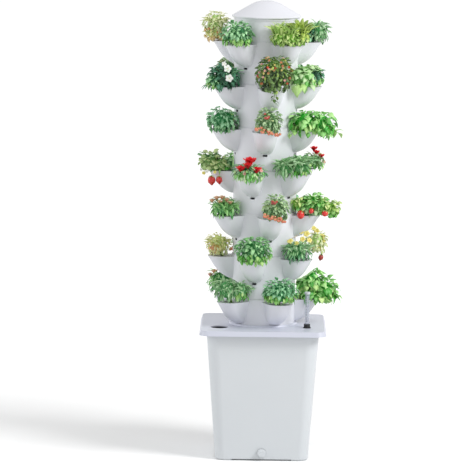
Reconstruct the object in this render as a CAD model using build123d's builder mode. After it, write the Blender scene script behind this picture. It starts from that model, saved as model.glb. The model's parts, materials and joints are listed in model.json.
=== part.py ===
import math
import os

from build123d import *

os.makedirs("parts", exist_ok=True)

# Fits: the gap left round each piece that turns, slides or drops into another.
running_gap = 0.4
push_gap = 0.3

# Tank: a tapered square tub that stands on its flat base.
tank_height = 398.0
tank_base_width = 280.0
tank_top_width = 341.0
tank_base_corner = 30.0
tank_top_corner = 40.0
tank_wall = 3.0
tank_floor = 7.0
tank_base_round = 5.6
foot_notch_width = 180.0
foot_notch_height = 4.0
foot_notch_reach = 16.0

# Lid: plate with a flared skirt, and the deep socket with a boss that the tower stands in.
lid_plate = 3.0
lid_overhang = 21.0
lid_flare = 5.5
lid_corner = 26.0
lid_skirt_height = 15.0
lid_clearance = 1.0
lid_lip_height = 6.0
lid_edge_round = 1.2
boss_height = 5.0
boss_width = 8.0
socket_depth = 65.0
socket_wall = 3.0
filler_radius = 26.5
filler_at = (-132.0, -98.0)

# Tower: seven moulded tiers, each with a ring of pots.
tier_count = 7
pots_per_tier = 5
tier_pitch = 130.0
column_radius = 98.0
column_taper = 3.4
column_wall = 3.0
spigot_length = 18.0
ledge_width = 15.0
ledge_thickness = 3.0
drip_hole_radius = 2.5
drip_holes = 10
tier_turns = (32.0, 8.0, 0.0, -22.0, 10.0, -17.0, 22.0)

# Pot: a tongue-shaped pocket; each row is depth, half width and centre radius.
pot_sections = ((7.0, 40.0, 132.0), (36.0, 33.0, 120.0), (60.0, 27.0, 105.0), (75.0, 18.0, 88.0))
pot_root = 70.0
pot_wall = 3.2
pot_lip_wall = 2.0
pot_seat_depth = 3.0
pot_seat_step = 0.4
window_top = 26.0
slot_width = 14.0
slot_height = 6.0
slot_drop = 4.0

# Net cup, root plug and stem of each plant.
cup_flange = 2.0
cup_radius = 26.0
cup_floor_radius = 13.0
cup_depth = 34.0
cup_wall = 1.5
cup_centre = 126.0
cup_slot_width = 3.5
cup_slot_height = 20.4
cup_slots = 8
plug_height = 30.0
stem_radius = 7.0

# Header ring and cap.
header_height = 70.0
header_bead_height = 7.0
header_bead_reach = 1.6
disc_lift = 24.0
disc_thickness = 3.0
disc_socket_rise = 12.0
disc_socket_drop = 15.0
disc_socket_wall = 2.6
spreader_radius = 27.0
spreader_leg_height = 17.0
spreader_leg_radius = 2.5
spreader_shell = 2.0
spreader_rise = 9.0
cap_reach = 7.0
cap_height = 50.0
cap_edge = 4.0
cap_shell = 2.6
cap_ring_depth = 10.0
cap_crown_radius = 100.0

# Riser pipe.
pipe_radius = 10.0
pipe_wall = 2.0
pipe_pieces = 3
coupling_wall = 2.6
coupling_length = 50.0
pipe_top_overlap = 14.0

# Pump.
pump_length = 64.0
pump_width = 52.0
pump_height = 50.0
pump_round = 7.0
pump_foot_height = 6.0
pump_foot_radius = 8.0
pump_foot_inset = 12.0
outlet_radius = 8.0
outlet_bore = 6.0
outlet_height = 15.0
chamber_radius = 17.0
chamber_depth = 16.0
pump_pin_radius = 1.6
impeller_vanes = 6
impeller_hub_radius = 4.2
vane_thickness = 1.8
vane_height = 8.0
impeller_plate = 2.0
impeller_end_gap = 0.6
impeller_side_gap = 2.0
grille_thickness = 5.0
grille_slot = 3.0
grille_slots = 7
gland_radius = 5.0
gland_length = 6.0

# Drain.
drain_height = 24.0
drain_boss_radius = 18.0
drain_boss_proud = 1.5
drain_tube_radius = 9.0
drain_bore = 6.3
drain_flange_radius = 14.0
drain_flange = 2.0
drain_gasket = 1.5
drain_nut_radius = 14.5
drain_nut_length = 6.0
plug_head_radius = 12.0
plug_head = 6.0
plug_grip = 3.5
plug_grip_width = 5.0
plug_grip_turn = 35.0
plug_shank = 9.0
drain_seal = 1.5
drain_seal_width = 2.6

# Level gauge.
gauge_at = (133.0, -98.0)
gauge_tube_radius = 7.5
gauge_tube_wall = 1.2
gauge_tube_length = 106.0
gauge_foot_height = 12.0
gauge_foot_flange = 11.5
gauge_foot_plate = 2.0
gauge_foot_wall = 1.6
gauge_neck_radius = 6.2
gauge_cap_height = 7.0
gauge_cap_wall = 1.2
guide_radius = 16.0
guide_wall = 1.6
guide_length = 190.0
guide_flange = 4.0
guide_plate = 2.5
guide_slot_width = 5.0
guide_slot_length = 152.0
float_height = 40.0
float_rod_radius = 2.0
float_head_radius = 4.6
float_head_height = 8.0

# Cable grommet at the back corner of the lid.
grommet_at = (-60.0, 150.0)
grommet_hole = 10.0
grommet_bore = 4.0
grommet_flange = 3.0
grommet_plate = 2.0

# Levels that follow from the sizes above.
lid_top = tank_height + lid_plate
skirt_bottom = lid_top - lid_skirt_height
lid_width = tank_top_width + 2 * lid_overhang
lid_plateau = lid_width - 2 * lid_flare
spigot_radius = column_radius - column_taper
socket_radius = spigot_radius + running_gap
socket_floor = lid_top - socket_depth
boss_top = lid_top + boss_height
tier_tops = [
    socket_floor + spigot_length + tier_pitch * (tier_count - n)
    for n in range(tier_count)
]
header_base = tier_tops[0]
header_top = header_base + header_height
ledge_radius = spigot_radius - ledge_width
lip_depth, lip_half, lip_centre = pot_sections[0]
pot_depth = pot_sections[-1][0]
seat_level = -lip_depth - pot_seat_depth
flange_top = seat_level + cup_flange
cup_floor = seat_level - cup_depth
plug_top = cup_floor + cup_wall + plug_height


def column_at(drop):
    return column_radius - column_taper * min(drop / tier_pitch, 1.0)


def tank_half(height):
    share = height / tank_height
    return (tank_base_width + (tank_top_width - tank_base_width) * share) / 2


def save(piece, name):
    piece.label = name
    export_step(piece, f"parts/{name}.step")


def tongue(plane, half, centre, root):
    with BuildSketch(plane) as face:
        with BuildLine():
            Polyline((centre, -half), (root, -half), (root, half), (centre, half))
            ThreePointArc((centre, half), (centre + half, 0), (centre, -half))
        make_face()
    return face


def tube(outer, inner, bottom, top, at=(0.0, 0.0)):
    with BuildPart() as piece:
        with BuildSketch(Plane.XY.offset(bottom)):
            with Locations(at):
                Circle(outer)
                Circle(inner, mode=Mode.SUBTRACT)
        extrude(amount=top - bottom)
    return piece.part


def turned(points, at=(0.0, 0.0)):
    with BuildPart() as piece:
        with BuildSketch(Plane.XZ):
            with BuildLine():
                Polyline(*points, close=True)
            make_face()
        revolve(axis=Axis.Z)
    return piece.part.moved(Location((at[0], at[1], 0)))


# Tank
with BuildPart() as tank:
    with BuildSketch(Plane.XY):
        RectangleRounded(tank_base_width, tank_base_width, tank_base_corner)
    with BuildSketch(Plane.XY.offset(tank_height)):
        RectangleRounded(tank_top_width, tank_top_width, tank_top_corner)
    loft()
    fillet(tank.faces().sort_by(Axis.Z)[0].edges(), radius=tank_base_round)
    boss_face = tank_half(drain_height) + drain_boss_proud
    boss_back = tank_half(drain_height) - tank_wall - drain_boss_proud
    floor_half = tank_half(tank_floor) - tank_wall
    rim_half = tank_half(tank_height) - tank_wall
    with BuildSketch(Plane.XY.offset(tank_floor)):
        RectangleRounded(2 * floor_half, 2 * floor_half, tank_base_corner - tank_wall)
    with BuildSketch(Plane.XY.offset(tank_height)):
        RectangleRounded(2 * rim_half, 2 * rim_half, tank_top_corner - tank_wall)
    loft(mode=Mode.SUBTRACT)
    with BuildSketch(Plane((0, -boss_face, drain_height), x_dir=(1, 0, 0), z_dir=(0, -1, 0))):
        Circle(drain_boss_radius)
    extrude(amount=-(boss_face - boss_back))
    with BuildSketch(Plane((0, -boss_face, drain_height), x_dir=(1, 0, 0), z_dir=(0, -1, 0))):
        Circle(drain_tube_radius + push_gap)
    extrude(amount=-(boss_face - boss_back), mode=Mode.SUBTRACT)
    with PolarLocations(tank_base_width / 2, 4):
        Box(
            2 * foot_notch_reach,
            foot_notch_width,
            2 * foot_notch_height,
            mode=Mode.SUBTRACT,
        )
save(tank.part, "reservoir_tank")

# Lid
socket_mouth = column_at(tier_tops[-1] - boss_top) + running_gap
with BuildPart() as lid:
    with BuildSketch(Plane.XY.offset(skirt_bottom)):
        RectangleRounded(lid_width, lid_width, lid_corner + lid_flare)
    with BuildSketch(Plane.XY.offset(lid_top)):
        RectangleRounded(lid_plateau, lid_plateau, lid_corner)
    loft()
    fillet(lid.faces().sort_by(Axis.Z)[-1].edges(), radius=lid_edge_round)
    skirt_inner = lid_width - 2 * lid_plate
    plateau_inner = lid_plateau - 2 * lid_plate
    with BuildSketch(Plane.XY.offset(skirt_bottom)):
        RectangleRounded(skirt_inner, skirt_inner, lid_corner + lid_flare - lid_plate)
    with BuildSketch(Plane.XY.offset(tank_height)):
        RectangleRounded(plateau_inner, plateau_inner, lid_corner - lid_plate)
    loft(mode=Mode.SUBTRACT)
    lip_half_width = tank_half(tank_height) - tank_wall - lid_clearance
    with BuildSketch(Plane.XY.offset(tank_height)):
        RectangleRounded(
            2 * lip_half_width,
            2 * lip_half_width,
            tank_top_corner - tank_wall - lid_clearance,
        )
        RectangleRounded(
            2 * (lip_half_width - lid_plate),
            2 * (lip_half_width - lid_plate),
            tank_top_corner - tank_wall - lid_clearance - lid_plate,
            mode=Mode.SUBTRACT,
        )
    extrude(amount=-lid_lip_height)
    with BuildSketch(Plane.XY.offset(lid_top)):
        Circle(socket_mouth + socket_wall + push_gap)
    extrude(amount=-2 * lid_plate, mode=Mode.SUBTRACT)
    with Locations((*filler_at, lid_top)):
        Cylinder(filler_radius, 4 * lid_plate, mode=Mode.SUBTRACT)
    with Locations((*gauge_at, lid_top)):
        Cylinder(gauge_tube_radius + gauge_foot_wall, 4 * lid_plate, mode=Mode.SUBTRACT)
    with Locations((*grommet_at, lid_top)):
        Cylinder(grommet_hole, 4 * lid_plate, mode=Mode.SUBTRACT)
save(lid.part, "reservoir_lid")

# Tower socket: a deep ring that drops through the lid and hangs on its boss flange
tower_socket = turned(
    (
        (ledge_radius, socket_floor - ledge_thickness),
        (socket_radius + socket_wall, socket_floor - ledge_thickness),
        (socket_mouth + socket_wall, lid_top),
        (socket_mouth + boss_width, lid_top),
        (socket_mouth + boss_width - boss_height / 2, boss_top),
        (socket_mouth, boss_top),
        (socket_radius, socket_floor + spigot_length),
        (socket_radius, socket_floor),
        (ledge_radius, socket_floor),
    )
)
save(tower_socket, "tower_socket")

# Tier: column, five pots, ledge ring, windows and slots
with BuildPart() as pot_outer:
    for depth, half, centre in pot_sections:
        section_face = tongue(Plane.XY.offset(-depth), half, centre, pot_root)
        add(section_face.sketch)
    loft()

seat_half = lip_half - pot_lip_wall
with BuildPart() as pot_hollow:
    for depth, half, centre in pot_sections:
        drop = min(depth, pot_depth - pot_wall)
        section_face = tongue(Plane.XY.offset(-drop), half - pot_wall, centre, pot_root)
        add(section_face.sketch)
    loft()
    with BuildSketch(Plane.XY.offset(-lip_depth)):
        add(tongue(Plane.XY, seat_half - pot_seat_step, lip_centre, pot_root).sketch)
    extrude(amount=-pot_seat_depth)
    Cylinder(
        column_radius,
        2 * window_top,
        mode=Mode.SUBTRACT,
    )

with BuildPart() as tier:
    with BuildSketch(Plane.XZ):
        with BuildLine():
            Polyline(
                (0, 0),
                (column_radius, 0),
                (spigot_radius, -tier_pitch),
                (spigot_radius, -tier_pitch - spigot_length),
                (0, -tier_pitch - spigot_length),
                close=True,
            )
        make_face()
    revolve(axis=Axis.Z)
    with PolarLocations(0, pots_per_tier):
        add(pot_outer.part)
    ledge_wall = column_at(spigot_length + ledge_thickness) - column_wall
    with BuildSketch(Plane.XZ):
        with BuildLine():
            Polyline(
                (0, 0),
                (socket_radius, 0),
                (socket_radius, -spigot_length),
                (ledge_radius, -spigot_length),
                (ledge_radius, -spigot_length - ledge_thickness),
                (ledge_wall, -spigot_length - ledge_thickness),
                (spigot_radius - column_wall, -tier_pitch),
                (spigot_radius - column_wall, -tier_pitch - spigot_length),
                (0, -tier_pitch - spigot_length),
                close=True,
            )
        make_face()
    revolve(axis=Axis.Z, mode=Mode.SUBTRACT)
    with PolarLocations(0, pots_per_tier):
        add(pot_hollow.part, mode=Mode.SUBTRACT)
    with Locations((0, 0, -spigot_length)):
        with PolarLocations(ledge_radius + ledge_width / 3, drip_holes):
            Cylinder(drip_hole_radius, 4 * ledge_thickness, mode=Mode.SUBTRACT)
    with Locations((0, 0, -pot_depth - slot_drop - slot_height / 2)):
        with PolarLocations(column_radius, pots_per_tier):
            Box(6 * column_wall, slot_width, slot_height, mode=Mode.SUBTRACT)

# Net cup: tongue-shaped flange on the pot seat and a slotted basket
with BuildPart() as cup:
    with BuildSketch(Plane.XY.offset(seat_level)):
        add(
            tongue(
                Plane.XY, seat_half - pot_seat_step - push_gap, lip_centre, pot_root
            ).sketch
        )
        Circle(column_radius + push_gap, mode=Mode.SUBTRACT)
    extrude(amount=cup_flange)
    with BuildSketch(Plane.XY.offset(seat_level)):
        with Locations((cup_centre, 0)):
            Circle(cup_radius)
    with BuildSketch(Plane.XY.offset(cup_floor)):
        with Locations((cup_centre, 0)):
            Circle(cup_floor_radius)
    loft()
    with BuildSketch(Plane.XY.offset(flange_top)):
        with Locations((cup_centre, 0)):
            Circle(cup_radius - cup_wall)
    with BuildSketch(Plane.XY.offset(cup_floor + cup_wall)):
        with Locations((cup_centre, 0)):
            Circle(cup_floor_radius - cup_wall)
    loft(mode=Mode.SUBTRACT)
    with Locations((cup_centre, 0, seat_level - cup_depth / 2)):
        with PolarLocations(0, cup_slots // 2, angular_range=180):
            Box(3 * cup_radius, cup_slot_width, cup_slot_height, mode=Mode.SUBTRACT)

with BuildPart() as root_plug:
    with Locations((cup_centre, 0, cup_floor + cup_wall + plug_height / 2)):
        Cylinder(cup_floor_radius - cup_wall - push_gap, plug_height)

# Plants: soft envelopes of overlapping lobes; rows are lean, half width, height and the
# sections of a trailing shoot.
crown_share = 0.72
crown_gap = 3.0
crown_lobes = 5
plant_forms = {
    "mound": (21.0, 46.0, 62.0, ()),
    "tuft": (26.0, 40.0, 72.0, ()),
    "bush": (34.0, 50.0, 76.0, ((50.0, 0.0, 12.0, 16.0), (74.0, 0.0, 0.0, 17.0), (86.0, 0.0, -10.0, 9.0))),
    "low": (20.0, 38.0, 54.0, ()),
    "berry": (22.0, 44.0, 58.0, ((40.0, -8.0, 17.0, 14.0), (66.0, -10.0, 4.0, 15.0), (78.0, -12.0, -14.0, 9.0))),
    "trail": (22.0, 46.0, 58.0, ((40.0, 0.0, 20.0, 16.0), (68.0, 3.0, 10.0, 19.0), (94.0, 9.0, -2.0, 10.0))),
}
tier_plants = (
    ("tuft", "tuft", "mound", "tuft", "mound"),
    ("bush", "mound", "mound", "low", "tuft"),
    ("low", "trail", "tuft", "berry", "mound"),
    ("tuft", "mound", "tuft", "trail", "berry"),
    ("low", "trail", "mound", "bush", "tuft"),
    ("mound", "tuft", "tuft", "low", "tuft"),
    ("mound", "trail", "berry", "tuft", "mound"),
)


def plant(lean, half, height, trailing):
    crown = cup_centre + lean
    top_radius = half * crown_share
    with BuildPart() as piece:
        with Locations((crown, 0, height - top_radius)):
            Sphere(top_radius)
        with Locations((crown, 0, half / 2 - crown_gap)):
            with PolarLocations(half / 2, crown_lobes):
                Sphere(half / 2)
        for reach, side, rise, radius in trailing:
            with BuildSketch(Plane.YZ.offset(cup_centre + reach)):
                with Locations((side, rise)):
                    Circle(radius)
        if trailing:
            loft()
        with Locations((cup_centre, 0, plug_top)):
            Cylinder(
                stem_radius,
                half / 2 - plug_top,
                align=(Align.CENTER, Align.CENTER, Align.MIN),
            )
    return piece.part


pot_step = 360 / pots_per_tier
forms = {name: plant(*sizes) for name, sizes in plant_forms.items()}
for number, (top, turn, names) in enumerate(zip(tier_tops, tier_turns, tier_plants), start=1):
    seat = Location((0, 0, top), (0, 0, turn - 90))
    with BuildPart() as placed_tier:
        with Locations(seat):
            add(tier.part)
    save(placed_tier.part, f"tier_{number}")
    with BuildPart() as cups:
        with Locations(seat):
            with PolarLocations(0, pots_per_tier):
                add(cup.part)
    save(cups.part, f"net_cups_{number}")
    with BuildPart() as plugs:
        with Locations(seat):
            with PolarLocations(0, pots_per_tier):
                add(root_plug.part)
    save(plugs.part, f"root_plugs_{number}")
    plants = Compound(
        [
            forms[name].solid().moved(Location((0, 0, top), (0, 0, turn - 90 + pot * pot_step)))
            for pot, name in enumerate(names)
        ]
    )
    save(plants, f"plants_{number}")

# Header ring on the top tier
header_inner = column_radius - column_wall
disc_level = header_base + disc_lift
header = turned(
    (
        (spigot_radius - column_wall, header_base - spigot_length),
        (spigot_radius, header_base - spigot_length),
        (spigot_radius, header_base),
        (column_radius, header_top - header_bead_height),
        (column_radius + header_bead_reach, header_top - header_bead_height),
        (column_radius + header_bead_reach, header_top),
        (header_inner, header_top),
        (header_inner, header_top - 2 * cap_ring_depth),
        (spigot_radius - column_wall + push_gap, disc_level),
        (ledge_radius, disc_level),
        (ledge_radius, disc_level - ledge_thickness),
        (spigot_radius - column_wall, disc_level - ledge_thickness),
    )
)
save(header, "top_header")

# Distributor disc with the socket for the riser, and the spreader over it
socket_outer = pipe_radius + running_gap + disc_socket_wall
with BuildPart() as disc:
    with BuildSketch(Plane.XY.offset(disc_level)):
        Circle(spigot_radius - column_wall - push_gap)
    extrude(amount=disc_thickness)
    with BuildSketch(Plane.XY.offset(disc_level - disc_socket_drop)):
        Circle(socket_outer)
    extrude(amount=disc_socket_drop + disc_thickness + disc_socket_rise)
    with BuildSketch(Plane.XY.offset(disc_level - disc_socket_drop)):
        Circle(pipe_radius + running_gap)
    extrude(amount=disc_socket_drop + disc_thickness + disc_socket_rise, mode=Mode.SUBTRACT)
    with Locations((0, 0, disc_level)):
        with PolarLocations(ledge_radius - ledge_width / 2, drip_holes):
            Cylinder(drip_hole_radius, 4 * disc_thickness, mode=Mode.SUBTRACT)
save(disc.part, "distributor_disc")

spreader_base = disc_level + disc_thickness
spreader_plate = spreader_base + spreader_leg_height
with BuildPart() as spreader:
    with BuildSketch(Plane.XZ):
        with BuildLine():
            Polyline(
                (0, spreader_plate + spreader_rise - spreader_shell),
                (spreader_radius, spreader_plate - spreader_shell),
                (spreader_radius, spreader_plate),
                (0, spreader_plate + spreader_rise),
                close=True,
            )
        make_face()
    revolve(axis=Axis.Z)
    with Locations((0, 0, spreader_base)):
        with PolarLocations((socket_outer + spreader_radius) / 2, 3):
            Cylinder(
                spreader_leg_radius,
                spreader_leg_height,
                align=(Align.CENTER, Align.CENTER, Align.MIN),
            )
save(spreader.part, "spreader")

# Cap: a crown arc running into straight flanks, hollow, with a ring that drops into the header
cap_rim = column_radius + cap_reach
ring_outer = header_inner - running_gap
ring_inner = ring_outer - cap_shell
crown_centre = cap_height - cap_crown_radius
flank_turn = math.atan2(cap_edge - crown_centre, cap_rim)
flank_turn += math.acos(cap_crown_radius / math.hypot(cap_rim, cap_edge - crown_centre))


def on_crown(radius, turn):
    return (radius * math.cos(turn), crown_centre + radius * math.sin(turn))


inside_radius = cap_crown_radius - cap_shell
inside_end = on_crown(inside_radius, flank_turn)
flank_run = (inside_end[1] - cap_edge) * math.tan(flank_turn)
half_turn = (flank_turn + math.pi / 2) / 2
with BuildPart() as cap:
    with BuildSketch(Plane.XZ):
        with BuildLine():
            Polyline(
                (0, cap_height),
                (0, 0),
                (cap_rim, 0),
                (cap_rim, cap_edge),
                on_crown(cap_crown_radius, flank_turn),
            )
            ThreePointArc(
                on_crown(cap_crown_radius, flank_turn),
                on_crown(cap_crown_radius, half_turn),
                (0, cap_height),
            )
        make_face()
    revolve(axis=Axis.Z)
    fillet(cap.edges().filter_by(GeomType.CIRCLE).group_by(SortBy.RADIUS)[-1], radius=cap_edge / 3)
    with BuildSketch(Plane.XZ):
        with BuildLine():
            Polyline(
                (0, cap_height - cap_shell),
                (0, 0),
                (ring_inner, 0),
                (ring_inner, cap_edge),
                (inside_end[0] + flank_run, cap_edge),
                inside_end,
            )
            ThreePointArc(
                inside_end,
                on_crown(inside_radius, half_turn),
                (0, cap_height - cap_shell),
            )
        make_face()
    revolve(axis=Axis.Z, mode=Mode.SUBTRACT)
    with BuildSketch(Plane.XY):
        Circle(ring_outer)
        Circle(ring_inner, mode=Mode.SUBTRACT)
    extrude(amount=-cap_ring_depth)
save(cap.part.moved(Location((0, 0, header_top))), "top_cap")

# Pump on four suction feet, with its chamber, pin, outlet and cable gland
pump_base = tank_floor + pump_foot_height
pump_top = pump_base + pump_height
pump_axis = pump_base + pump_height / 2
pump_front = -pump_width / 2
pump_face = Plane((0, pump_front, pump_axis), x_dir=(1, 0, 0), z_dir=(0, -1, 0))
with BuildPart() as pump:
    with Locations((0, 0, pump_axis)):
        Box(pump_length, pump_width, pump_height)
    fillet(pump.edges().filter_by(Axis.Z), radius=pump_round)
    with BuildSketch(Plane.XY.offset(pump_top)):
        Circle(outlet_radius)
    extrude(amount=outlet_height)
    with BuildSketch(Plane.XY.offset(pump_top + outlet_height)):
        Circle(outlet_bore)
    extrude(amount=-outlet_height - pump_height / 2, mode=Mode.SUBTRACT)
    with BuildSketch(pump_face):
        Circle(chamber_radius)
    extrude(amount=-chamber_depth, mode=Mode.SUBTRACT)
    with BuildSketch(pump_face):
        Circle(pump_pin_radius)
    extrude(amount=-chamber_depth - pump_round)
    with BuildSketch(Plane((0, -pump_front, pump_axis), x_dir=(1, 0, 0), z_dir=(0, 1, 0))):
        Circle(gland_radius)
        Circle(grommet_bore, mode=Mode.SUBTRACT)
    extrude(amount=gland_length)
save(pump.part, "pump_body")

with BuildPart() as feet:
    with Locations((0, 0, tank_floor)):
        with GridLocations(pump_length - 2 * pump_foot_inset, pump_width - 2 * pump_foot_inset, 2, 2):
            Cone(
                pump_foot_radius,
                pump_foot_radius / 2,
                pump_foot_height,
                align=(Align.CENTER, Align.CENTER, Align.MIN),
            )
save(feet.part, "pump_feet")

impeller_back = Plane(
    (0, pump_front + chamber_depth - impeller_end_gap, pump_axis), x_dir=(1, 0, 0), z_dir=(0, -1, 0)
)
impeller_radius = chamber_radius - impeller_side_gap
with BuildPart() as impeller:
    with BuildSketch(impeller_back):
        Circle(impeller_radius)
    extrude(amount=impeller_plate)
    with BuildSketch(impeller_back):
        Circle(impeller_hub_radius)
        with PolarLocations((impeller_radius + impeller_hub_radius - vane_thickness) / 2, impeller_vanes):
            Rectangle(impeller_radius - impeller_hub_radius, vane_thickness)
    extrude(amount=impeller_plate + vane_height)
    with BuildSketch(impeller_back):
        Circle(pump_pin_radius + push_gap)
    extrude(amount=impeller_plate + vane_height, mode=Mode.SUBTRACT)
save(impeller.part, "pump_impeller")

with BuildPart() as grille:
    with BuildSketch(pump_face):
        RectangleRounded(pump_length - 2 * pump_round, pump_height - pump_round, pump_round / 2)
        with GridLocations(2 * grille_slot, 0, grille_slots, 1):
            SlotOverall(2 * chamber_radius, grille_slot, rotation=90, mode=Mode.SUBTRACT)
    extrude(amount=grille_thickness)
save(grille.part, "pump_grille")

# Riser: outlet sleeve, three pipes and two couplings
sleeve_shoulder = pump_top + outlet_height + push_gap
sleeve_outer = pipe_radius + push_gap + coupling_wall
riser_bottom = sleeve_shoulder + pipe_wall
sleeve = turned(
    (
        (outlet_radius + push_gap, pump_top),
        (sleeve_outer, pump_top),
        (sleeve_outer, riser_bottom + coupling_length / 2),
        (pipe_radius + push_gap, riser_bottom + coupling_length / 2),
        (pipe_radius + push_gap, riser_bottom),
        (outlet_bore, riser_bottom),
        (outlet_bore, sleeve_shoulder),
        (outlet_radius + push_gap, sleeve_shoulder),
    )
)
save(sleeve, "outlet_sleeve")

riser_top = disc_level - disc_socket_drop + pipe_top_overlap
pipe_length = (riser_top - riser_bottom) / pipe_pieces
for index, name in enumerate(("riser_lower", "riser_middle", "riser_upper")):
    start = riser_bottom + index * pipe_length
    save(tube(pipe_radius, pipe_radius - pipe_wall, start, start + pipe_length), name)
for index, name in enumerate(("riser_coupling_lower", "riser_coupling_upper"), start=1):
    middle = riser_bottom + index * pipe_length
    save(
        tube(
            sleeve_outer,
            pipe_radius + push_gap,
            middle - coupling_length / 2,
            middle + coupling_length / 2,
        ),
        name,
    )

# Drain: fitting through the tank wall, gasket, nut, seal and plug
drain_face = boss_face + drain_gasket + drain_flange


def facing(distance):
    return Plane((0, -distance, drain_height), x_dir=(1, 0, 0), z_dir=(0, -1, 0))


with BuildPart() as fitting:
    with BuildSketch(facing(drain_face)):
        Circle(drain_flange_radius)
    extrude(amount=-drain_flange)
    with BuildSketch(facing(drain_face)):
        Circle(drain_tube_radius)
    extrude(amount=-(drain_face - boss_back + drain_nut_length + drain_gasket))
    with BuildSketch(facing(drain_face)):
        Circle(drain_bore)
    extrude(amount=-(drain_face - boss_back + drain_nut_length + drain_gasket), mode=Mode.SUBTRACT)
save(fitting.part, "drain_fitting")

with BuildPart() as gasket:
    with BuildSketch(facing(boss_face)):
        Circle(drain_flange_radius)
        Circle(drain_tube_radius + push_gap, mode=Mode.SUBTRACT)
    extrude(amount=drain_gasket)
save(gasket.part, "drain_gasket")

with BuildPart() as nut:
    with BuildSketch(facing(boss_back)):
        RegularPolygon(drain_nut_radius, 6)
        Circle(drain_tube_radius + push_gap, mode=Mode.SUBTRACT)
    extrude(amount=-drain_nut_length)
save(nut.part, "drain_nut")

with BuildPart() as seal:
    with BuildSketch(facing(drain_face)):
        Circle(drain_bore + drain_seal_width)
        Circle(drain_bore, mode=Mode.SUBTRACT)
    extrude(amount=drain_seal)
save(seal.part, "drain_seal")

with BuildPart() as drain_plug:
    with BuildSketch(facing(drain_face + drain_seal)):
        Circle(plug_head_radius)
    extrude(amount=plug_head)
    fillet(drain_plug.edges().group_by(Axis.Y)[0], radius=plug_head / 4)
    with BuildSketch(facing(drain_face + drain_seal + plug_head)):
        SlotOverall(2 * plug_head_radius - plug_head, plug_grip_width, rotation=plug_grip_turn)
    extrude(amount=plug_grip)
    with BuildSketch(facing(drain_face + drain_seal)):
        Circle(drain_bore - push_gap)
    extrude(amount=-drain_seal - plug_shank)
save(drain_plug.part, "drain_plug")

# Level gauge: foot, clear tube, cap, guide under the lid and the float
foot_outer = gauge_tube_radius + push_gap + gauge_foot_wall
foot_seat = lid_top + gauge_foot_plate
foot = turned(
    (
        (gauge_neck_radius, tank_height - guide_plate),
        (gauge_tube_radius + gauge_foot_wall - push_gap, tank_height - guide_plate),
        (gauge_tube_radius + gauge_foot_wall - push_gap, lid_top),
        (gauge_foot_flange, lid_top),
        (gauge_foot_flange, foot_seat),
        (foot_outer, foot_seat),
        (foot_outer, lid_top + gauge_foot_height),
        (gauge_tube_radius + push_gap, lid_top + gauge_foot_height),
        (gauge_tube_radius + push_gap, foot_seat),
        (gauge_neck_radius, foot_seat),
    ),
    gauge_at,
)
save(foot, "gauge_foot")

tube_top = foot_seat + gauge_tube_length
gauge_tube = tube(
    gauge_tube_radius, gauge_tube_radius - gauge_tube_wall, foot_seat, tube_top, gauge_at
)
save(gauge_tube, "gauge_tube")

gauge_cap = turned(
    (
        (0, tube_top),
        (gauge_tube_radius + push_gap, tube_top),
        (gauge_tube_radius + push_gap, tube_top - gauge_cap_height + 2 * gauge_cap_wall),
        (gauge_tube_radius + push_gap + gauge_cap_wall, tube_top - gauge_cap_height + 2 * gauge_cap_wall),
        (gauge_tube_radius + push_gap + gauge_cap_wall, tube_top + gauge_cap_wall),
        (gauge_tube_radius, tube_top + 2 * gauge_cap_wall),
        (0, tube_top + 2 * gauge_cap_wall),
    ),
    gauge_at,
)
save(gauge_cap, "gauge_cap")

guide_bottom = tank_height - guide_length
guide_hole = gauge_tube_radius + gauge_foot_wall
with BuildPart() as guide:
    with BuildSketch(Plane.XZ):
        with BuildLine():
            Polyline(
                (guide_hole, tank_height - guide_plate),
                (guide_hole, tank_height),
                (guide_radius + guide_flange, tank_height),
                (guide_radius + guide_flange, tank_height - guide_plate),
                (guide_radius, tank_height - guide_plate),
                (guide_radius, guide_bottom),
                (guide_radius / 2, guide_bottom),
                (guide_radius / 2, guide_bottom + guide_plate),
                (guide_radius - guide_wall, guide_bottom + guide_plate),
                (guide_radius - guide_wall, tank_height - guide_plate),
                close=True,
            )
        make_face()
    revolve(axis=Axis.Z)
    with Locations((0, 0, guide_bottom + guide_length / 2)):
        with PolarLocations(0, 2, angular_range=180):
            Box(3 * guide_radius, guide_slot_width, guide_slot_length, mode=Mode.SUBTRACT)
save(guide.part.moved(Location((*gauge_at, 0))), "gauge_guide")

float_base = guide_bottom + guide_plate
float_top = float_base + float_height
float_radius = guide_radius - guide_wall - running_gap
level_float = turned(
    (
        (0, float_base),
        (float_radius, float_base),
        (float_radius, float_top),
        (float_rod_radius, float_top),
        (float_rod_radius, foot_seat + push_gap),
        (float_head_radius, foot_seat + push_gap),
        (float_head_radius, foot_seat + float_head_height),
        (0, foot_seat + float_head_height),
    ),
    gauge_at,
)
save(level_float, "gauge_float")

# Cable grommet
grommet = turned(
    (
        (grommet_bore, tank_height - grommet_plate),
        (grommet_hole + grommet_flange, tank_height - grommet_plate),
        (grommet_hole + grommet_flange, tank_height),
        (grommet_hole - push_gap, tank_height),
        (grommet_hole - push_gap, lid_top),
        (grommet_hole + grommet_flange, lid_top),
        (grommet_hole + grommet_flange, lid_top + grommet_plate),
        (grommet_bore, lid_top + grommet_plate),
    ),
    grommet_at,
)
save(grommet, "cable_grommet")
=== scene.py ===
import bpy
import json
import math
import random
from mathutils import Matrix, Vector


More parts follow.
